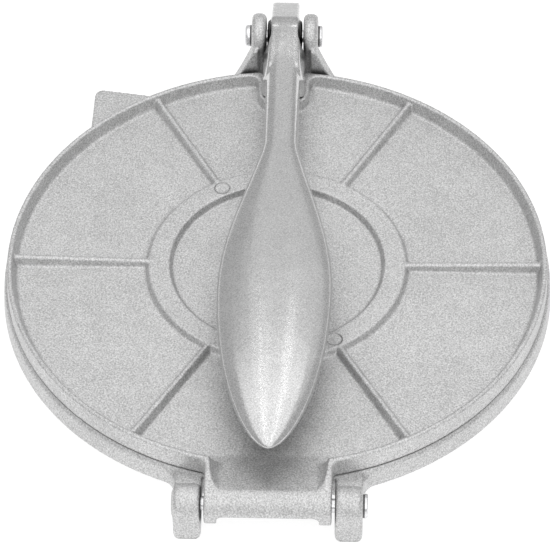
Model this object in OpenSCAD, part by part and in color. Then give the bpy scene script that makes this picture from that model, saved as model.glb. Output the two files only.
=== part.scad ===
// Hand press for flattening balls of dough between two hinged round plates.
// Millimetres. The origin is on the table at the middle of the press's length.
// +Z is up, +Y points to the lever bracket, and the plate hinge is on the -Y side.

/* [Upper platen] */
// Outside diameter at the lower edge
platen_diameter = 210.6; // [196:0.2:226]
// Height from the pressing face to the top of the rim
platen_height = 8.3; // [7.6:0.1:10]
// Thickness of the pressing plate
platen_plate = 2.8; // [2.4:0.1:3.4]
// Width of the rim at its top
rim_width = 1.9; // [1.6:0.1:3]
// How far the rim's inside leans outward from floor to top
rim_lean = 1.4; // [0.6:0.1:2]
// Rounding of the rim's top edges
rim_round = 0.5; // [0.3:0.05:0.7]
// Fillet between floor and rim
floor_fillet = 1.4; // [0.8:0.1:2]

/* [Platen ribs] */
// Outside diameter of the ring at its top
ring_outer = 100.2; // [92:0.2:110]
// Inside diameter of the ring at its top
ring_inner = 83.6; // [76:0.2:88]
// Height of the ring above the floor
ring_height = 2.6; // [2:0.1:3.2]
// How much each side of the ring spreads toward the floor
ring_spread = 1; // [0.5:0.1:1.5]
// Width of a rib at its top
rib_width = 2; // [1.6:0.1:3]
// Width of a rib at its root
rib_root_width = 4.2; // [3.4:0.1:5]
// Drop from the rim's top to the outer end of a rib
rib_drop = 1.5; // [1.2:0.1:2.4]
// Diameter of the round marks on the ring
mark_diameter = 6.2; // [4:0.1:7]
// Depth of the round marks
mark_depth = 0.2; // [0.1:0.05:0.4]

/* [Bearing pad] */
// Width of the pad that the lever presses on
pad_width = 20.5; // [18.5:0.1:26]
// Distance of the pad's inner edge from the plates' axis
pad_inner = 88; // [82:0.5:90]
// Corner radius of the pad in plan
pad_corner = 7; // [4:0.5:8]
// Lean of the pad's inner wall
pad_lean = 2; // [0.5:0.1:3]
// Hollow rounding between the pad's sides and the rim
pad_fillet = 4; // [2:0.5:6]

/* [Base] */
// How much wider the base is than the upper platen, all round, at its top
base_margin = 1.1; // [0.6:0.1:2]
// How much the base widens from its top to the skirt's lower edge
base_draft = 0.7; // [0.3:0.1:1.2]
// Height of the base from the skirt's lower edge to the pressing face
base_height = 9.2; // [8.2:0.1:12]
// Rounding of the base's top edge
base_round = 1.8; // [0.6:0.1:2.4]
// Thickness of the base's pressing plate
base_plate = 3.2; // [2.8:0.1:4]
// Thickness of the skirt at its lower edge
skirt_wall = 2.6; // [2:0.1:3.4]
// Height of the feet below the skirt
foot_height = 3.5; // [2.5:0.1:5]
// Height of the ribs under the base
under_rib_height = 4; // [3:0.1:4.4]

/* [Side tab] */
// Distance of the tab's corner from the plates' axis
tab_reach = 128.4; // [122:0.2:134]
// Direction of the tab's corner, in degrees from +X
tab_angle = 127.4; // [115:0.2:140]
// Thickness of the tab
tab_thickness = 4; // [3:0.1:6]
// Rounding of the tab's corner
tab_round = 3.2; // [2:0.1:6]
// Hollow rounding where the tab's far side meets the rim
tab_far_fillet = 12; // [4:0.5:14]
// Hollow rounding where the tab's near side meets the rim
tab_near_fillet = 3; // [2:0.5:6]

/* [Plate hinge] */
// Distance of the hinge axis outside the base's edge
hinge_offset = 9.6; // [9.2:0.1:16]
// Drop of the hinge axis below the pressing faces
hinge_drop = 0.5; // [0:0.1:0.8]
// Radius of the knuckles and of the lugs round the pin
knuckle_radius = 7.3; // [6.6:0.1:7.4]
// Width of the upper platen's neck and knuckles
neck_width = 46.6; // [40:0.2:54]
// Length of each closed end knuckle
knuckle_length = 4.6; // [3.6:0.1:8]
// Radius of the open channel over the pin between the knuckles
channel_radius = 4; // [3.4:0.1:4.4]
// Thickness of each hinge lug on the base
lug_width = 10.2; // [8:0.1:13]
// Gap between a lug and the neck
hinge_gap = 1.2; // [0.5:0.1:1.6]
// Hollow rounding between the neck's sides and the rim
neck_fillet = 3.5; // [2:0.5:5]
// Hollow rounding along both sides of the apron that climbs to the knuckles
apron_fillet = 4.5; // [2:0.5:6]
// Rounding of the lugs' edges
lug_round = 1.8; // [0.6:0.1:2.2]
// Hollow rounding between the lugs and the skirt
lug_fillet = 9; // [4:0.5:11]
// Height of the low boss round the pin's closed end
boss_height = 0.6; // [0.3:0.1:1]

/* [Lever bracket] */
// Distance of the lever axis outside the base's edge
lever_offset = 11.1; // [10.6:0.1:16]
// Height of the lever axis above the upper platen's rim
lever_rise = 8; // [8:0.2:9.6]
// Radius of the round ears
ear_radius = 9.3; // [8.8:0.1:9.6]
// Thickness of each ear
ear_width = 6; // [5:0.1:8]
// Gap between an ear and the lever's hub
ear_gap = 0.5; // [0.3:0.1:1]
// Rounding of the ears' edges
ear_round = 2.2; // [0.6:0.1:2.6]
// How far each side web spreads at the foot of its ear
web_spread = 17; // [12:0.5:22]
// Height of the web's top above the lever axis
web_rise = 1.5; // [1:0.5:3]
// Gap along the press between the side webs and the pin's head
web_gap = 1; // [0.6:0.1:2]

/* [Lever] */
// Width of the lever at its hub
hub_width = 14.3; // [13:0.1:16]
// Radius of the hub
hub_radius = 7; // [6:0.1:7.4]
// Height of the lever's back above its axis
back_height = 8.3; // [7.8:0.1:9]
// Width of the tail
tail_width = 11.3; // [9:0.1:12.8]
// Length of the tail behind the lever axis
tail_length = 20.6; // [19.6:0.1:22]
// Width of the pressing nose
nose_width = 17.2; // [15.5:0.1:20]
// Gap between the nose and the round of the ears
nose_gap = 1; // [0.8:0.1:1.4]
// Length of the nose's flat that bears on the pad
nose_flat = 5; // [3:0.1:7]
// Width of the arm
arm_width = 13.8; // [12:0.1:14.4]
// Height of the arm
arm_height = 11; // [9:0.1:13]
// Greatest width of the grip
grip_width = 44; // [36:0.5:54]
// Greatest height of the grip
grip_height = 12.4; // [10:0.1:15]
// Distance from the lever axis to the grip's tip
lever_length = 224.5; // [214:0.5:230]
// Height of the grip's middle above the rim
grip_rise = 12; // [11:0.1:18]
// Distance from the grip's tip to its widest place
grip_front = 79; // [70:1:90]
// Distance from the grip's widest place to the plain arm
grip_back = 77; // [66:1:88]

/* [Pins] */
// Diameter of the hinge pin
hinge_pin_diameter = 5.2; // [4.5:0.1:6]
// Diameter of the lever pin
lever_pin_diameter = 5.2; // [4.5:0.1:6]
// Radial play of a pin in its holes
pin_play = 0.05; // [0.03:0.01:0.1]
// Diameter of the pin heads and the cap
head_diameter = 9.1; // [8.4:0.1:10.4]
// Thickness of a pin's head
head_height = 1.3; // [1:0.1:2]
// Height of the cap on the lever pin
cap_height = 2.2; // [2:0.1:3]
// Wall left over the pin's end inside the cap
cap_wall = 0.8; // [0.6:0.1:1]
// Thickness of the washers
washer_thickness = 0.6; // [0.4:0.1:1]

/* [Hidden] */

$fn = 64;
round_steps = 5;
overlap = 0.5;
rib_count = 6;
rib_pitch = 360 / rib_count;

// Heights above the table
skirt_z = foot_height;
face_z = skirt_z + base_height;
floor_z = face_z + platen_plate;
ring_z = floor_z + ring_height;
rim_z = face_z + platen_height;
base_under_z = face_z - base_plate;
hinge_z = face_z - hinge_drop;
lever_z = rim_z + lever_rise;

// Radii and places in plan
platen_radius = platen_diameter / 2;
platen_draft = 0.4;
rim_outer = platen_radius - platen_draft;
rim_inner = rim_outer - rim_width;
floor_radius = rim_inner - rim_lean;
base_radius = platen_radius + base_margin;
skirt_radius = base_radius + base_draft;
hinge_y = -(base_radius + hinge_offset);
lever_y = base_radius + lever_offset;
ear_inner = hub_width / 2 + ear_gap;
ear_outer = ear_inner + ear_width;
ear_middle = ear_inner + ear_width / 2;
web_x = ear_outer - 0.8;
lug_inner = neck_width / 2 + hinge_gap;
lug_outer = lug_inner + lug_width;
edge = 0.6;

// The shapes are drawn about the plates' axis, then moved along Y so that the
// origin is midway between the front of the lugs and the end of the tail.
front_y = hinge_y - knuckle_radius;
back_y = lever_y + tail_length;
middle_y = (front_y + back_y) / 2;

// ---- Small helpers -------------------------------------------------------

function unit(v) = v / norm(v);
function heading(v) = atan2(v[1], v[0]);
function short_turn(a) = a > 180 ? a - 360 : (a < -180 ? a + 360 : a);

// Points of one rounded corner at b, between its neighbours a and c.
function corner(a, b, c, radius, steps) =
    let (
        u = unit([a[0] - b[0], a[1] - b[1]]),
        v = unit([c[0] - b[0], c[1] - b[1]]),
        half = acos(u * v) / 2,
        back = radius / tan(half),
        centre = [b[0], b[1]] + unit(u + v) * radius / sin(half),
        first = heading([b[0], b[1]] + u * back - centre),
        last = heading([b[0], b[1]] + v * back - centre),
        sweep = short_turn(last - first)
    )
    [for (i = [0:steps])
        let (t = first + sweep * i / steps)
        centre + radius * [cos(t), sin(t)]];

// Outline from points [x, y, rounding]; a rounding of 0 keeps the point sharp.
function rounded(points, steps = round_steps) =
    let (n = len(points))
    [for (i = [0:n - 1])
        let (b = points[i])
        for (p = b[2] == 0
            ? [[b[0], b[1]]]
            : corner(points[(i + n - 1) % n], b, points[(i + 1) % n], b[2], steps))
        p];

// Where a line from point p touches the upper side of a circle.
function upper_tangent(p, centre, radius) =
    let (
        d = norm(p - centre),
        a = heading(p - centre),
        turn = acos(radius / d)
    )
    centre + radius * [cos(a + turn), sin(a + turn)];

// How far along Y a circle about the plates' axis lies, at a given x.
function reach(radius, x) = sqrt(radius * radius - x * x);

// A profile drawn in the (y, z) plane, spread from x = from to x = to.
module across(from, to) {
    translate([from, 0, 0]) rotate([90, 0, 90]) linear_extrude(to - from) children();
}

// A profile drawn in the (x, z) plane, spread from y = from to y = to.
module along(from, to) {
    translate([0, to, 0]) rotate([90, 0, 0]) linear_extrude(to - from) children();
}

// A round bar along X from x = from to x = to, at a hinge axis.
module bar(y, z, radius, from, to) {
    translate([from, y, z]) rotate([0, 90, 0]) cylinder(r = radius, h = to - from);
}

// An upright that stands on the table and is round about a hinge axis. All its
// upright edges and the edges of its round top share one rounding.
module upright(y, z, radius, from, to, edge_radius) {
    translate([0, y, z]) rotate([90, 0, 90])
        rotate_extrude() polygon(rounded([
            [0, from, 0],
            [radius, from, edge_radius],
            [radius, to, edge_radius],
            [0, to, 0]
        ]));
    intersection() {
        linear_extrude(z)
            polygon(rounded([
                [from, y - radius, edge_radius],
                [to, y - radius, edge_radius],
                [to, y + radius, edge_radius],
                [from, y + radius, edge_radius]
            ]));
        along(y - 2 * radius, y + 2 * radius)
            polygon(rounded([
                [from, 0, edge_radius],
                [to, 0, edge_radius],
                [to, z + radius, 0],
                [from, z + radius, 0]
            ]));
    }
}

module both_sides() {
    children();
    mirror([1, 0, 0]) children();
}

module placed() {
    translate([0, -middle_y, 0]) children();
}

// ---- Upper platen --------------------------------------------------------

module platen_disc() {
    rotate_extrude($fn = 120) polygon(rounded([
        [0, face_z, 0],
        [platen_radius, face_z, 0.3],
        [rim_outer, rim_z, rim_round],
        [rim_inner, rim_z, rim_round],
        [floor_radius, floor_z, floor_fillet],
        [0, floor_z, 0]
    ]));
}

module platen_ring() {
    outer = ring_outer / 2;
    inner = ring_inner / 2;
    rotate_extrude($fn = 96) polygon(rounded([
        [inner - ring_spread, floor_z - overlap, 0],
        [outer + ring_spread, floor_z - overlap, 0],
        [outer + ring_spread, floor_z, 0],
        [outer, ring_z, 0.6],
        [inner, ring_z, 0.6],
        [inner - ring_spread, floor_z, 0]
    ], 3));
}

// Cross-section of a rib, with its top at the origin.
module rib_section(depth) {
    polygon(rounded([
        [-rib_root_width / 2, -depth, 0],
        [rib_root_width / 2, -depth, 0],
        [rib_width / 2, 0, 0.8],
        [-rib_width / 2, 0, 0.8]
    ], 3));
}

module platen_rib() {
    start = (ring_outer + ring_inner) / 4;
    run = rim_inner - start;
    climb = platen_height - platen_plate - ring_height - rib_drop;
    depth = ring_height + climb + overlap;
    translate([start, 0, ring_z])
        rotate([0, -atan(climb / run), 0])
            rotate([90, 0, 90])
                linear_extrude(run) rib_section(depth);
}

// Pad under the lever's nose, with hollow corners where it grows out of the rim.
module bearing_pad() {
    half = pad_width / 2;
    wide = half + 2 * pad_fillet;
    intersection() {
        translate([0, 0, floor_z - overlap])
            linear_extrude(rim_z - floor_z + overlap)
                polygon(rounded([
                    [-wide, rim_inner, 0],
                    [-wide, reach(rim_inner, wide), 0],
                    [-half, reach(rim_inner, half), pad_fillet],
                    [-half, pad_inner - pad_lean, pad_corner],
                    [half, pad_inner - pad_lean, pad_corner],
                    [half, reach(rim_inner, half), pad_fillet],
                    [wide, reach(rim_inner, wide), 0],
                    [wide, rim_inner, 0]
                ]));
        across(-pad_width, pad_width)
            polygon(rounded([
                [rim_inner, floor_z - overlap, 0],
                [rim_inner, rim_z, 0],
                [pad_inner, rim_z, 0.8],
                [pad_inner - pad_lean, floor_z, 0],
                [pad_inner - pad_lean, floor_z - overlap, 0]
            ]));
    }
}

// The apron climbs from start, on the floor, to top, where it meets the knuckles.
apron_start = [-(floor_radius - 5.5), floor_z];
apron_top = upper_tangent(apron_start, [hinge_y, hinge_z], knuckle_radius);

// Neck under the apron, seen from the side.
module neck_profile() {
    polygon([
        apron_start,
        apron_top,
        [hinge_y, hinge_z],
        [hinge_y, face_z],
        [apron_start[0] + 4, face_z],
        [apron_start[0] + 4, floor_z]
    ]);
    translate([hinge_y, hinge_z]) circle(r = knuckle_radius);
}

// Seen from the side: the rim's top runs level, then down to the knuckles.
module cheek_profile() {
    start = [-reach(rim_outer, neck_width / 2), rim_z];
    polygon([
        [start[0] + 8, rim_z],
        start,
        upper_tangent(start, [hinge_y, hinge_z], knuckle_radius),
        [hinge_y, hinge_z],
        [hinge_y, face_z],
        [start[0] + 8, face_z]
    ]);
}

// Half of the neck up to the height of the rim, with a hollow corner outside.
module neck_cheek() {
    half = neck_width / 2;
    wide = half + 2 * neck_fillet;
    intersection() {
        translate([0, 0, face_z])
            linear_extrude(platen_height)
                polygon(rounded([
                    [wide, -reach(rim_outer, wide) + 1, 0],
                    [wide, -reach(rim_outer, wide), 0],
                    [half, -reach(rim_outer, half), neck_fillet],
                    [half, hinge_y, 0],
                    [0, hinge_y, 0],
                    [0, -rim_inner, 0]
                ]));
        across(0, wide + 1) cheek_profile();
    }
}

// Room above the apron: it leaves a cheek on each side, with a hollow corner.
module apron_trough() {
    half = neck_width / 2 - rim_width;
    run = apron_top - apron_start;
    translate([0, apron_start[0], apron_start[1]])
        rotate([atan(run[1] / run[0]), 0, 0])
            along(-norm(run) - knuckle_radius, 0)
                polygon(rounded([
                    [-half, 0, apron_fillet],
                    [half, 0, apron_fillet],
                    [half + 1, 2 * platen_height, 0],
                    [-half - 1, 2 * platen_height, 0]
                ]));
}

// What is taken away under the middle of the knuckles, seen from the front.
module knuckle_gap(mid) {
    low = hinge_z - 2 * knuckle_radius;
    polygon(rounded([
        [-mid - 2, low, 0],
        [-mid - 2, hinge_z - knuckle_radius, 0],
        [-mid, hinge_z - knuckle_radius + 1, 1.5],
        [-mid, face_z, 2],
        [mid, face_z, 2],
        [mid, hinge_z - knuckle_radius + 1, 1.5],
        [mid + 2, hinge_z - knuckle_radius, 0],
        [mid + 2, low, 0]
    ]));
}

module platen_neck() {
    half = neck_width / 2;
    mid = half - knuckle_length;
    difference() {
        union() {
            across(-half, half) neck_profile();
            both_sides() neck_cheek();
        }
        along(hinge_y - 2 * knuckle_radius, hinge_y + 2 * knuckle_radius) knuckle_gap(mid);
        bar(hinge_y, hinge_z, channel_radius, -mid, mid);
        bar(hinge_y, hinge_z, hinge_pin_diameter / 2 + pin_play, -half - 1, half + 1);
    }
}

module upper_platen() {
    color("gainsboro")
    placed() difference() {
        union() {
            platen_disc();
            platen_ring();
            for (i = [0:rib_count - 1])
                rotate(i * rib_pitch) platen_rib();
            bearing_pad();
            platen_neck();
        }
        apron_trough();
        for (i = [0, 1])
            rotate(2 * rib_pitch + 180 * i)
                translate([(ring_outer + ring_inner) / 4, 0, ring_z - mark_depth])
                    cylinder(d = mark_diameter, h = 2 * mark_depth);
    }
}

// ---- Base ----------------------------------------------------------------

module base_disc() {
    rotate_extrude($fn = 120) polygon(rounded([
        [0, face_z, 0],
        [base_radius, face_z, base_round],
        [skirt_radius, skirt_z, edge],
        [skirt_radius - skirt_wall, skirt_z, edge],
        [base_radius - skirt_wall - 1.2, base_under_z, 1.5],
        [0, base_under_z, 0]
    ]));
}

module base_under_ribs() {
    low = base_under_z - under_rib_height;
    outer = ring_outer / 2;
    inner = ring_inner / 2;
    rotate_extrude($fn = 96) polygon([
        [inner + 2, low],
        [outer - 2, low],
        [outer, base_under_z + overlap],
        [inner, base_under_z + overlap]
    ]);
    run = base_radius - skirt_wall - outer + 4;
    for (i = [0:rib_count - 1])
        rotate(i * rib_pitch)
            translate([outer - 4, 0, base_under_z + overlap])
                rotate([90, 0, 90])
                    linear_extrude(run)
                        polygon([
                            [-2, 0], [2, 0],
                            [1.3, -under_rib_height - overlap],
                            [-1.3, -under_rib_height - overlap]
                        ]);
}

// A lug stands on the table, and a short web of its width joins it to the skirt.
module hinge_lug() {
    upright(hinge_y, hinge_z, knuckle_radius, lug_inner, lug_outer, lug_round);
    across(lug_inner, lug_outer)
        polygon([
            [hinge_y, skirt_z],
            [9 - base_radius, skirt_z],
            [9 - base_radius, face_z - 0.4],
            [hinge_y, face_z - 0.4]
        ]);
    translate([0, 0, skirt_z])
        linear_extrude(base_height - base_round)
            edge_blend([lug_outer, hinge_y], [lug_outer, 0], lug_fillet, 1);
}

// Side web of an ear: its outer edge is a hollow curve down to the skirt, and its
// back slants from behind the ear's front to the skirt.
module ear_web() {
    top = lever_z + web_rise;
    low = skirt_z;
    foot_x = web_x + web_spread;
    drop = top - low;
    curve = (drop * drop + web_spread * web_spread) / (2 * web_spread) * 3;
    back = lever_y - head_diameter / 2 - web_gap;
    front = base_radius - 14;
    intersection() {
        along(front, back)
            difference() {
                polygon([
                    [ear_middle, top],
                    [web_x, top],
                    [foot_x, low],
                    [ear_middle, low]
                ]);
                web_hollow(top, low, curve);
            }
        translate([0, 0, low])
            linear_extrude(drop + overlap)
                polygon([
                    [ear_middle, front],
                    [ear_middle, back],
                    [ear_outer + 1, back],
                    [foot_x, reach(base_radius, foot_x) + 2],
                    [foot_x, front]
                ]);
    }
}

// Circle through both ends of the web's outer edge.
module web_hollow(top, low, radius) {
    a = [web_x, top];
    b = [web_x + web_spread, low];
    middle = (a + b) / 2;
    chord = norm(b - a);
    away = unit([a[1] - b[1], b[0] - a[0]]);
    translate(middle + away * sqrt(radius * radius - chord * chord / 4))
        circle(r = radius, $fn = 180);
}

module lever_bracket() {
    both_sides() {
        upright(lever_y, lever_z, ear_radius, ear_inner, ear_outer, ear_round);
        ear_web();
        translate([ear_inner, base_radius - 8, skirt_z])
            cube([ear_width, lever_y - base_radius + 8, base_height - 1]);
    }
    translate([-ear_middle, base_radius - 4, 0])
        cube([2 * ear_middle, lever_y + ear_radius - 2 - base_radius + 4, skirt_z + 0.5]);
}

// Hollow corner where a line from p, heading for q, runs into the base's edge.
// side is 1 or -1: the side of the line on which the corner lies.
module edge_blend(p, q, radius, side) {
    d = unit(q - p);
    n = side * [d[1], -d[0]];
    w = p + n * radius;
    b = w * d;
    t = -b - sqrt(b * b - w * w + pow(base_radius + radius, 2));
    centre = w + d * t;
    foot = centre - n * (radius + overlap);
    difference() {
        polygon([
            foot,
            centre - n * radius,
            centre,
            centre * (base_radius - overlap) / (base_radius + radius),
            foot + d * 2 * radius
        ]);
        translate(centre) circle(r = radius);
    }
}

// Flat tab with a rounded corner, blended into the base's edge on both sides.
module side_tab() {
    tip = tab_reach * [cos(tab_angle), sin(tab_angle)];
    side = tab_reach - base_radius;
    far_end = tip + [34, -5.1];
    near_end = tip + [-0.6, -33];
    translate([0, 0, face_z - 0.6 - tab_thickness])
        linear_extrude(tab_thickness) {
            polygon(rounded([
                [tip[0], tip[1], tab_round],
                [far_end[0], far_end[1], 0],
                [far_end[0] + 2, far_end[1] - side, 0],
                [near_end[0] + side, near_end[1], 0],
                [near_end[0], near_end[1], 0]
            ]));
            edge_blend(tip, far_end, tab_far_fillet, -1);
            edge_blend(tip, near_end, tab_near_fillet, 1);
        }
}

// Lugs, bracket and tab, kept out of the hollow under the base and out of the
// way of the upper platen.
module base_fittings() {
    difference() {
        union() {
            both_sides() hinge_lug();
            lever_bracket();
            side_tab();
        }
        translate([0, 0, -1])
            cylinder(r = base_radius - skirt_wall + 0.4, h = base_under_z + 1 + overlap, $fn = 120);
        translate([0, 0, face_z])
            cylinder(r = base_radius, h = lever_z + 2 * ear_radius, $fn = 120);
    }
}

module base() {
    color("silver")
    placed() difference() {
        union() {
            base_disc();
            base_under_ribs();
            base_fittings();
            bar(hinge_y, hinge_z, head_diameter / 2, -lug_outer - boss_height, -lug_inner - 1);
        }
        bar(hinge_y, hinge_z, hinge_pin_diameter / 2 + pin_play, -lug_outer - 2, lug_outer + 2);
        bar(lever_y, lever_z, lever_pin_diameter / 2 + pin_play, -ear_outer - 1, ear_outer + 1);
    }
}

// ---- Lever ---------------------------------------------------------------

// Places along the lever, measured as y
tip_y = lever_y - lever_length;
widest_y = tip_y + grip_front;
neck_y = widest_y + grip_back;
arm_start_y = lever_y - 1;
rise_y = pad_inner + 4;
arm_z = rim_z + arm_height / 2 + 3.4;
arm_top = arm_z + arm_height / 2;
hub_lift = lever_z + back_height - arm_top;
shoulder_y = lever_y - ear_radius - nose_gap;
grip_z = rim_z + grip_rise;

function ease(t) = let (s = min(1, max(0, t))) s * s * (3 - 2 * s);

// Half width: even along the arm, narrow between the ears, swelling into the grip
// and closing at the tip.
function half_width(y) =
    y > neck_y
    ? arm_width / 2 - (arm_width - tail_width) / 2
        * ease((y - shoulder_y) / (arm_start_y - shoulder_y))
    : (y > widest_y
        ? arm_width / 2 + (grip_width - arm_width) / 2
            * sin(90 * pow((neck_y - y) / (neck_y - widest_y), 1.15))
        : grip_width / 2 * pow(max(0, 1 - pow((widest_y - y) / (widest_y - tip_y), 2)), 0.6));

// 0 along the arm, 1 from the grip's widest place on.
function grown(y) = ease((neck_y - y) / (neck_y - widest_y));

// The arm's top climbs to the lever's back over the hub.
function lift(y) = hub_lift * ease((y - rise_y) / (arm_start_y - rise_y));

// Half height: arm, then the thicker grip, then the long rounded nose of the grip.
function half_height(y) =
    (arm_height + (grip_height - arm_height) * grown(y) + lift(y)) / 2
    * pow(max(0, 1 - pow(max(0, (widest_y - y) / (widest_y - tip_y)), 2.2)), 0.5);

function middle_z(y) =
    arm_z + lift(y) / 2
    + (grip_z - arm_z) * ease((arm_start_y - y) / (arm_start_y - widest_y));

loft_sides = 32;
loft_steps = 44;
tip_steps = 10;

// Section: a rounded box along the arm that turns into a dome over the grip.
function soft(c, power) = sign(c) * pow(abs(c), power);
function section(y) =
    let (
        w = max(0.05, half_width(y)),
        h = max(0.05, half_height(y)),
        z = middle_z(y),
        across_power = 0.62 + 0.28 * grown(y),
        top_power = 0.86 + 0.14 * grown(y),
        low_power = 0.6 + 0.15 * grown(y)
    )
    [for (i = [0:loft_sides - 1])
        let (a = 360 * i / loft_sides)
        [w * soft(cos(a), across_power), y, z + h * soft(sin(a), sin(a) > 0 ? top_power : low_power)]];

// Stations run evenly down the lever and crowd together at the tip.
body_end_y = tip_y + 14;
stations = concat(
    [for (i = [0:loft_steps]) arm_start_y + (body_end_y - arm_start_y) * i / loft_steps],
    [for (i = [1:tip_steps]) tip_y + (body_end_y - tip_y) * pow(cos(90 * i / tip_steps), 1.6)]
);

module lever_loft() {
    rings = [for (y = stations) section(y)];
    count = len(rings);
    points = [for (r = rings) for (p = r) p];
    sides = [
        for (k = [0:count - 2])
            for (i = [0:loft_sides - 1])
                let (j = (i + 1) % loft_sides, a = k * loft_sides, b = a + loft_sides)
                for (t = [[a + j, a + i, b + i], [b + j, a + j, b + i]])
                    t
    ];
    hub_cap = [for (i = [0:loft_sides - 1]) i];
    tip_cap = [for (i = [loft_sides - 1:-1:0]) (count - 1) * loft_sides + i];
    polyhedron(points = points, faces = concat([hub_cap], sides, [tip_cap]), convexity = 4);
}

// Round hub between the ears, with rounded ends.
module lever_hub() {
    half = hub_width / 2;
    translate([0, lever_y, lever_z]) rotate([90, 0, 90])
        rotate_extrude() polygon(rounded([
            [0, -half, 0],
            [hub_radius, -half, 1.6],
            [hub_radius, half, 1.6],
            [0, half, 0]
        ], 4));
}

// Tail behind the hub, seen from the side and in plan. Its top joins the lever's back.
module lever_tail() {
    half = tail_width / 2;
    start_y = arm_start_y - 1;
    intersection() {
        across(-half, half)
            polygon(rounded([
                [start_y, lever_z + back_height, 0],
                [lever_y + 3, lever_z + back_height - 0.6, 6],
                [back_y, lever_z + 0.6, 2],
                [back_y, lever_z - 6.6, 2],
                [start_y, lever_z - hub_radius + 0.6, 0]
            ]));
        translate([0, 0, lever_z - 2 * hub_radius])
            linear_extrude(4 * hub_radius)
                polygon(rounded([
                    [-half, start_y, 0],
                    [half, start_y, 0],
                    [half, back_y, 1.7],
                    [-half, back_y, 1.7]
                ]));
    }
}

// Nose: wider than the arm, with sloping shoulders. A short flat bears on the pad,
// then the underside rises toward the hub so that it clears the pad as the lever
// swings. Its back is hollow, round the ears.
module lever_nose() {
    front = pad_inner + 0.6;
    half = nose_width / 2;
    spine = tail_width / 2;
    top = lever_z + back_height - 0.4;
    difference() {
        intersection() {
            across(-half, half)
                polygon(rounded([
                    [front, rim_z, 1],
                    [front + nose_flat + 1, rim_z, 3],
                    [lever_y - ear_radius, rim_z + 5, 0],
                    [lever_y, lever_z, 0],
                    [lever_y, top, 0],
                    [lever_y - 4, top, 3],
                    [front + 6, arm_top - 0.3, 4],
                    [front, arm_top - 3, 4]
                ]));
            along(front, lever_y)
                polygon(rounded([
                    [-half, rim_z, 0],
                    [half, rim_z, 0],
                    [half, lever_z, 4],
                    [spine, top, 0],
                    [-spine, top, 0],
                    [-half, lever_z, 4]
                ]));
            translate([0, 0, rim_z - 1])
                linear_extrude(2 * arm_height + 2)
                    polygon(rounded([
                        [-half, front, 1.6],
                        [half, front, 1.6],
                        [half, lever_y, 0],
                        [-half, lever_y, 0]
                    ]));
        }
        both_sides()
            bar(lever_y, lever_z, ear_radius + nose_gap, spine, nose_width);
    }
}

module lever() {
    color("whitesmoke")
    placed() difference() {
        union() {
            lever_hub();
            lever_tail();
            lever_nose();
            lever_loft();
        }
        bar(lever_y, lever_z, lever_pin_diameter / 2 + pin_play, -hub_width, hub_width);
    }
}

// ---- Pins ----------------------------------------------------------------

// Pin along X from its plain end at x = end to the head, whose inner face is at
// x = reach plus a washer.
module pin(y, z, diameter, end, reach) {
    head_x = reach + washer_thickness;
    translate([0, y, z]) rotate([90, 0, 90])
        rotate_extrude() polygon(rounded([
            [0, end, 0],
            [diameter / 2, end, 0.4],
            [diameter / 2, head_x, 0],
            [head_diameter / 2, head_x, 0.2],
            [head_diameter / 2, head_x + head_height, 0.7],
            [0, head_x + head_height, 0]
        ], 4));
}

module pin_cap(y, z, diameter, reach) {
    inner_x = -reach - washer_thickness;
    hole = diameter / 2 + pin_play;
    translate([0, y, z]) rotate([90, 0, 90])
        rotate_extrude() polygon(rounded([
            [0, inner_x - cap_height, 0],
            [head_diameter / 2, inner_x - cap_height, 1.2],
            [head_diameter / 2, inner_x, 0.2],
            [hole, inner_x, 0],
            [hole, inner_x - cap_height + cap_wall, 0],
            [0, inner_x - cap_height + cap_wall, 0]
        ], 4));
}

module washer(y, z, diameter, from) {
    translate([from, y, z]) rotate([0, 90, 0])
        difference() {
            cylinder(d = head_diameter - 0.4, h = washer_thickness);
            translate([0, 0, -1])
                cylinder(r = diameter / 2 + pin_play, h = washer_thickness + 2);
        }
}

module hinge_pin() {
    color("lightgray") placed()
        pin(hinge_y, hinge_z, hinge_pin_diameter, -lug_outer - boss_height, lug_outer);
}

module hinge_washer() {
    color("dimgray") placed() washer(hinge_y, hinge_z, hinge_pin_diameter, lug_outer);
}

module lever_pin() {
    end = -ear_outer - washer_thickness - cap_height + cap_wall;
    color("lightgray") placed() pin(lever_y, lever_z, lever_pin_diameter, end, ear_outer);
}

module lever_pin_cap() {
    color("lightgray") placed() pin_cap(lever_y, lever_z, lever_pin_diameter, ear_outer);
}

module lever_washer_head() {
    color("dimgray") placed() washer(lever_y, lever_z, lever_pin_diameter, ear_outer);
}

module lever_washer_cap() {
    color("dimgray") placed()
        washer(lever_y, lever_z, lever_pin_diameter, -ear_outer - washer_thickness);
}

base();
upper_platen();
lever();
hinge_pin();
hinge_washer();
lever_pin();
lever_pin_cap();
lever_washer_head();
lever_washer_cap();
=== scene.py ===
import math
import bmesh
import bpy
from mathutils import Matrix, Vector


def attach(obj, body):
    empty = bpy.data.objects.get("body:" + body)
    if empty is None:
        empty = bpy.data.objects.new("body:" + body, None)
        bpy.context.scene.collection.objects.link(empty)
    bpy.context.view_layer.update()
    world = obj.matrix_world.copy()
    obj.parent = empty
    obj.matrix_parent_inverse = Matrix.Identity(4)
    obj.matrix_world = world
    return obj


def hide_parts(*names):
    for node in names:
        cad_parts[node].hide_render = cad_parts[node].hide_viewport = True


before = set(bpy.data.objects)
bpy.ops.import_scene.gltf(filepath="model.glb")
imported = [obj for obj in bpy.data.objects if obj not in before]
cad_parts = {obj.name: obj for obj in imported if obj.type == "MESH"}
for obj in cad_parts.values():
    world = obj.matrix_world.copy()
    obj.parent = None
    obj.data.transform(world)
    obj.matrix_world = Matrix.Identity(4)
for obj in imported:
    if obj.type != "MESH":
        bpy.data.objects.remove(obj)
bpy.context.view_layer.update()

scene = bpy.context.scene


# ---- Camera ---------------------------------------------------------------

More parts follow.
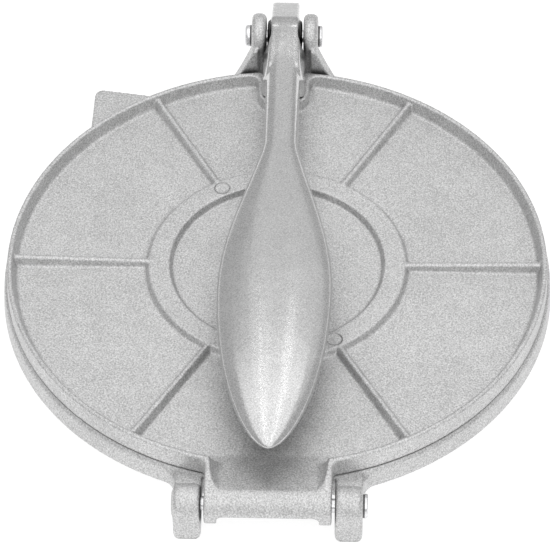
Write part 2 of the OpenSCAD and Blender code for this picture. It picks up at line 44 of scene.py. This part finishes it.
CAMERA_AZIMUTH = math.radians(2.2)
CAMERA_ELEVATION = math.radians(47.0)
CAMERA_ROLL = math.radians(-0.69)
CAMERA_DISTANCE = 1.2
CAMERA_TARGET = Vector((-0.00051, -0.01554, 0.021))
CAMERA_LENS = 203.1
CAMERA_SENSOR = 36.0
CAMERA_NEAR = 0.05
CAMERA_FAR = 20.0


def add_camera():
    """The photograph's view: raised, and turned and rolled a little."""
    a, e, r = CAMERA_AZIMUTH, CAMERA_ELEVATION, CAMERA_ROLL
    back = Vector((math.sin(a) * math.cos(e), -math.cos(a) * math.cos(e), math.sin(e)))
    right = Vector((math.cos(a), math.sin(a), 0.0))
    up = back.cross(right)
    side = right * math.cos(r) + up * math.sin(r)
    top = up * math.cos(r) - right * math.sin(r)
    data = bpy.data.cameras.new("camera")
    data.lens = CAMERA_LENS
    data.sensor_width = CAMERA_SENSOR
    data.clip_start = CAMERA_NEAR
    data.clip_end = CAMERA_FAR
    camera = bpy.data.objects.new("camera", data)
    place = CAMERA_TARGET + back * CAMERA_DISTANCE
    turn = Matrix((side, top, back)).transposed().to_4x4()
    camera.matrix_world = Matrix.Translation(place) @ turn
    scene.collection.objects.link(camera)
    scene.camera = camera


# ---- Material nodes -------------------------------------------------------

NOISE_TURN = (0.6, 0.4, 0.9)  # keeps the cells of the noise off the object's axes
OCCLUSION_SAMPLES = 6


class Nodes:
    """A material's node tree, with short calls to add and join nodes."""

    def __init__(self, name):
        self.material = bpy.data.materials.new(name)
        self.material.use_nodes = True
        self.tree = self.material.node_tree
        self.tree.nodes.clear()
        self.output = self.add("ShaderNodeOutputMaterial")
        self.shader = self.add("ShaderNodeBsdfPrincipled")
        self.join(self.shader.outputs["BSDF"], self.output.inputs["Surface"])
        self.coordinates = self.add("ShaderNodeTexCoord").outputs["Object"]
        turned = self.add("ShaderNodeMapping")
        turned.inputs["Rotation"].default_value = NOISE_TURN
        self.join(self.coordinates, turned.inputs["Vector"])
        self.place = turned.outputs["Vector"]

    def add(self, kind, **settings):
        node = self.tree.nodes.new(kind)
        for key, value in settings.items():
            setattr(node, key, value)
        return node

    def join(self, a, b):
        self.tree.links.new(a, b)

    def give(self, name, value):
        """Feeds a node's output, or a value that is the same all over, to the shader."""
        socket = self.shader.inputs[name]
        if isinstance(value, bpy.types.NodeSocket):
            self.join(value, socket)
        else:
            socket.default_value = value

    def noise(self, scale, detail, rough, stretch=None):
        """Noise with scale cells to the metre. stretch multiplies the scale along each axis."""
        node = self.add("ShaderNodeTexNoise")
        node.inputs["Scale"].default_value = scale
        node.inputs["Detail"].default_value = detail
        node.inputs["Roughness"].default_value = rough
        place = self.place
        if stretch:
            mapping = self.add("ShaderNodeMapping")
            mapping.inputs["Scale"].default_value = stretch
            self.join(place, mapping.inputs["Vector"])
            place = mapping.outputs["Vector"]
        self.join(place, node.inputs["Vector"])
        return node.outputs["Fac"]

    def spread(self, value, low, high, to_low=0.0, to_high=1.0):
        """Maps low to high onto to_low to to_high, and holds what lies outside."""
        node = self.add("ShaderNodeMapRange")
        node.inputs["From Min"].default_value = low
        node.inputs["From Max"].default_value = high
        node.inputs["To Min"].default_value = to_low
        node.inputs["To Max"].default_value = to_high
        self.join(value, node.inputs["Value"])
        return node.outputs["Result"]

    def maths(self, what, a, b=0.0):
        node = self.add("ShaderNodeMath", operation=what)
        for socket, value in zip(node.inputs, (a, b)):
            if isinstance(value, (int, float)):
                socket.default_value = value
            else:
                self.join(value, socket)
        return node.outputs["Value"]

    def weighted(self, values, weights):
        """The sum of the values, each times its weight."""
        terms = [self.maths("MULTIPLY", value, weight) for value, weight in zip(values, weights)]
        total = terms[0]
        for term in terms[1:]:
            total = self.maths("ADD", total, term)
        return total

    def blend(self, value, low, high):
        """Goes from the colour low to the colour high as value goes from 0 to 1."""
        node = self.add("ShaderNodeMix", data_type="RGBA")
        for socket, colour in ((node.inputs["A"], low), (node.inputs["B"], high)):
            if isinstance(colour, tuple):
                socket.default_value = (*colour, 1.0)
            else:
                self.join(colour, socket)
        self.join(value, node.inputs["Factor"])
        return node.outputs["Result"]

    def distance(self, point):
        """Distance in metres from a point of the piece at rest."""
        node = self.add("ShaderNodeVectorMath", operation="DISTANCE")
        node.inputs[1].default_value = point
        self.join(self.coordinates, node.inputs[0])
        return node.outputs["Value"]

    def occlusion(self, reach):
        """Ambient occlusion, used for painted shade: 1 on open surfaces, towards 0 in seams, roots
        and corners nearer than reach.
        """
        node = self.add("ShaderNodeAmbientOcclusion", samples=OCCLUSION_SAMPLES)
        node.inputs["Distance"].default_value = reach
        return node.outputs["AO"]

    def bump(self, height, distance, strength=1.0, under=None):
        """Relief of a depth in metres, on top of the relief under."""
        node = self.add("ShaderNodeBump")
        node.inputs["Distance"].default_value = distance
        node.inputs["Strength"].default_value = strength
        self.join(height, node.inputs["Height"])
        if under is not None:
            self.join(under, node.inputs["Normal"])
        return node.outputs["Normal"]


def grey(level):
    return (level, level, level)


# ---- Cast aluminium -------------------------------------------------------

GRAIN_NOISE = {"scale": 1800.0, "detail": 2.0, "rough": 0.6}
CLOUD_NOISE = {"scale": 28.0, "detail": 3.0, "rough": 0.55}
PATCH_NOISE = {"scale": 130.0, "detail": 2.0, "rough": 0.5}

TONE_WEIGHTS = (0.82, 0.08, 0.10)  # of grain, cloud and patch
TONE_SPAN = (0.36, 0.64)
GLOSS_WEIGHTS = (0.6, 0.4)  # of grain and patch
GLOSS_SPAN = (0.34, 0.66)

SWELL_DEPTH = 0.00025
SWELL_STRENGTH = 0.35
COAT_ROUGHNESS = 0.10

# near-black grey: painted shade in seams, roots and corners, and the dark line along the casting
# marks' edges
PAINTED_SHADE_AND_MARK_EDGE = grey(0.16)
OCCLUSION_REACH = 0.003
OCCLUSION_SPAN = (0.15, 0.75)

# Two round casting marks on the upper platen's ring, shallow and with a dark edge.
PLATE_AXIS_Y = -0.0074
MARK_RING = 0.04595
MARK_HEIGHT = 0.0181
MARK_ANGLES = (120.0, 300.0)
MARK_RADIUS = 0.0031
MARK_EDGE = 0.0004
MARK_EDGE_MIX = 0.5
MARK_DEPTH = 0.0003
MARK_CENTRES = [
    (MARK_RING * math.cos(angle), PLATE_AXIS_Y + MARK_RING * math.sin(angle), MARK_HEIGHT)
    for angle in map(math.radians, MARK_ANGLES)]


def cast_metal(name, shades, roughness, grain_depth, polish=0.0, marks=()):
    """Sand-cast aluminium: fine grain, soft mottling, uneven gloss, and painted shade that darkens
    its seams, roots and corners.

    shades and roughness each give the lowest and the highest value.
    """
    m = Nodes(name)
    grain = m.noise(**GRAIN_NOISE)
    cloud = m.noise(**CLOUD_NOISE)
    patch = m.noise(**PATCH_NOISE)
    tone = m.weighted((grain, cloud, patch), TONE_WEIGHTS)
    metal = m.blend(m.spread(tone, *TONE_SPAN), *map(grey, shades))
    undarkened = m.spread(m.occlusion(OCCLUSION_REACH), *OCCLUSION_SPAN)
    for centre in marks:
        from_edge = m.maths("ABSOLUTE", m.maths("SUBTRACT", m.distance(centre), MARK_RADIUS))
        # the colour is darker in a thin line along the casting mark's edge, mixed towards the same
        # near-black grey
        edge_undarkened = m.spread(from_edge, 0.0, MARK_EDGE, MARK_EDGE_MIX, 1.0)
        undarkened = m.maths("MINIMUM", undarkened, edge_undarkened)
    # painted shade: the base colour darkens towards a near-black grey where ambient occlusion finds
    # seams, roots and corners, and along each casting mark's edge
    m.give("Base Color", m.blend(undarkened, PAINTED_SHADE_AND_MARK_EDGE, metal))
    gloss = m.weighted((grain, patch), GLOSS_WEIGHTS)
    m.give("Roughness", m.spread(gloss, *GLOSS_SPAN, *roughness))
    m.give("Metallic", 1.0)
    m.give("Coat Weight", polish)
    m.give("Coat Roughness", COAT_ROUGHNESS)
    relief = m.bump(patch, SWELL_DEPTH, SWELL_STRENGTH)
    for centre in marks:
        rise = m.spread(m.distance(centre), MARK_RADIUS - MARK_EDGE, MARK_RADIUS)
        relief = m.bump(rise, MARK_DEPTH, under=relief)
    m.give("Normal", m.bump(grain, grain_depth, under=relief))
    return m.material


# ---- Turned steel ---------------------------------------------------------

TURNING_NOISE = {"scale": 900.0, "detail": 2.0, "rough": 0.5, "stretch": (1.0, 0.12, 0.12)}
TURNING_SPAN = (0.3, 0.7)
TURNING_DEPTH = 0.00002
TURNING_STRENGTH = 0.6
SCUFF_NOISE = {"scale": 420.0, "detail": 3.0, "rough": 0.6}
SCUFF_SPAN = (0.35, 0.65)


def turned_metal(name, dark, light, roughness):
    """Steel with faint turning marks and small scuffs."""
    m = Nodes(name)
    turning = m.noise(**TURNING_NOISE)
    scuff = m.noise(**SCUFF_NOISE)
    m.give("Base Color", m.blend(m.spread(scuff, *SCUFF_SPAN), dark, light))
    m.give("Roughness", m.spread(turning, *TURNING_SPAN, *roughness))
    m.give("Metallic", 1.0)
    m.give("Normal", m.bump(turning, TURNING_DEPTH, TURNING_STRENGTH))
    return m.material


def dress(node, material):
    """Gives a CAD node that stays visible its material."""
    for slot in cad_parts[node].material_slots:
        slot.link = "OBJECT"
        slot.material = material


# ---- Castings -------------------------------------------------------------

MERGE_DISTANCE = 1e-6
SOFTEN_FACTOR = 0.5
EVEN_WEIGHT = 80


def apply_modifiers(obj):
    """Makes the object's mesh what its modifiers show, and drops them."""
    graph = bpy.context.evaluated_depsgraph_get()
    mesh = bpy.data.meshes.new_from_object(obj.evaluated_get(graph))
    obj.modifiers.clear()
    obj.data = mesh


def add_casting(node, body, material, voxel, rounds, triangles):
    """A copy of a CAD casting whose sharp edges and corners are softened as in a sand mould.

    voxel is in metres, rounds are rounds of smoothing, triangles are what is kept.
    """
    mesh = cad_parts[node].data.copy()
    shell = bmesh.new()
    shell.from_mesh(mesh)
    bmesh.ops.remove_doubles(shell, verts=shell.verts, dist=MERGE_DISTANCE)
    shell.to_mesh(mesh)
    shell.free()
    mesh.materials.clear()
    casting = bpy.data.objects.new(node + "_casting", mesh)
    scene.collection.objects.link(casting)
    remesh = casting.modifiers.new("remesh", "REMESH")
    remesh.mode = "VOXEL"
    remesh.voxel_size = voxel
    soften = casting.modifiers.new("soften", "SMOOTH")
    soften.factor = SOFTEN_FACTOR
    soften.iterations = rounds
    apply_modifiers(casting)
    thin = casting.modifiers.new("thin", "DECIMATE")
    thin.ratio = triangles / (2 * len(casting.data.polygons))  # the remesh leaves four-sided faces
    apply_modifiers(casting)
    casting.data.shade_smooth()
    casting.data.materials.append(material)
    casting.modifiers.new("even", "WEIGHTED_NORMAL").weight = EVEN_WEIGHT
    apply_modifiers(casting)
    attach(casting, body)
    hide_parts(node)


# ---- Floor and light ------------------------------------------------------

FLOOR_REACH = 3.0
FLOOR_DROP = 0.0001  # clear of the press's feet, which stand at 0
FLOOR_SHADES = (0.30, 0.32)
FLOOR_NOISE = {"scale": 6.0, "detail": 2.0, "rough": 0.5}
FLOOR_ROUGHNESS = 0.9
FLOOR_GLOW = 0.86
GLOW_COLOUR = (1.0, 1.0, 1.0, 1.0)
WORLD_LEVEL = 0.58


def floor_paper():
    """White paper: it shows as white to the camera and in the metal, and keeps soft shadows."""
    m = Nodes("floor_paper")
    m.give("Base Color", m.blend(m.noise(**FLOOR_NOISE), *map(grey, FLOOR_SHADES)))
    m.give("Roughness", FLOOR_ROUGHNESS)
    m.give("Specular IOR Level", 0.0)
    ray = m.add("ShaderNodeLightPath").outputs
    seen = m.maths("MAXIMUM", ray["Is Camera Ray"], ray["Is Glossy Ray"])
    seen = m.maths("MAXIMUM", seen, ray["Is Transmission Ray"])
    m.give("Emission Color", GLOW_COLOUR)
    m.give("Emission Strength", m.maths("MULTIPLY", seen, FLOOR_GLOW))
    return m.material


def add_floor():
    reach = FLOOR_REACH
    mesh = bpy.data.meshes.new("floor")
    mesh.from_pydata(
        [(-reach, -reach, 0.0), (reach, -reach, 0.0), (reach, reach, 0.0), (-reach, reach, 0.0)],
        [], [(0, 1, 2, 3)])
    floor = bpy.data.objects.new("floor", mesh)
    floor.location.z = -FLOOR_DROP
    scene.collection.objects.link(floor)
    mesh.materials.append(floor_paper())


def add_light(name, place, aim, size, power):
    """A soft rectangular lamp of size metres, turned from its place to the point aim."""
    data = bpy.data.lights.new(name, "AREA")
    data.shape = "RECTANGLE"
    data.size, data.size_y = size
    data.energy = power
    light = bpy.data.objects.new(name, data)
    light.location = place
    light.rotation_euler = (Vector(aim) - Vector(place)).to_track_quat("-Z", "Y").to_euler()
    scene.collection.objects.link(light)


def add_world(level):
    world = bpy.data.worlds.new("studio")
    world.use_nodes = True
    world.node_tree.nodes["Background"].inputs["Color"].default_value = (*grey(level), 1.0)
    scene.world = world


# ---- The scene ------------------------------------------------------------

CAST = cast_metal("cast_aluminium", shades=(0.44, 0.85), roughness=(0.50, 0.62), grain_depth=0.0001)
CAST_PLATEN = cast_metal(
    "cast_aluminium_platen", shades=(0.44, 0.86), roughness=(0.50, 0.62), grain_depth=0.0001,
    marks=MARK_CENTRES)
DRESSED = cast_metal(
    "dressed_aluminium", shades=(0.47, 0.70), roughness=(0.21, 0.24), grain_depth=0.000005,
    polish=0.4)
PIN = turned_metal(
    "pin_steel", dark=(0.72, 0.72, 0.73), light=(0.86, 0.86, 0.87), roughness=(0.16, 0.32))
# near-black washers: their dark colour also stands in for the shade in the gap between each pin
# head and its lug
WASHER_AND_GAP_SHADE = turned_metal("washer_steel", dark=grey(0.10), light=grey(0.20), roughness=(0.35, 0.55))

add_camera()

for node in ("hinge_pin", "lever_pin", "lever_pin_cap"):
    dress(node, PIN)
for node in ("hinge_washer", "lever_washer_head", "lever_washer_cap"):
    dress(node, WASHER_AND_GAP_SHADE)

add_casting(
    "base", "base_body", CAST,
    voxel=0.0005, rounds=5, triangles=70000)
add_casting(
    "upper_platen", "platen_body", CAST_PLATEN,
    voxel=0.00045, rounds=6, triangles=80000)
add_casting(
    "lever", "lever_body", DRESSED,
    voxel=0.0005, rounds=16, triangles=30000)

add_floor()
add_light("overhead", place=(-0.04, -0.12, 1.15), aim=(-0.04, -0.12, 0), size=(1.5, 1.8), power=5.9)
add_light("back", place=(0.42, 1.10, 1.15), aim=(0.0, 0.0, 0.0), size=(1.8, 0.8), power=1.0)
add_light("front", place=(0.20, -1.15, 0.85), aim=(0.0, -0.10, 0.02), size=(1.2, 0.6), power=2.2)
for name, x in (("strip_left", -0.14), ("strip_right", 0.15)):
    add_light(name, place=(x, 0.20, 1.05), aim=(x, 0.20, 0.0), size=(0.016, 1.25), power=0.24)
add_world(WORLD_LEVEL)

scene.view_settings.view_transform = "Standard"
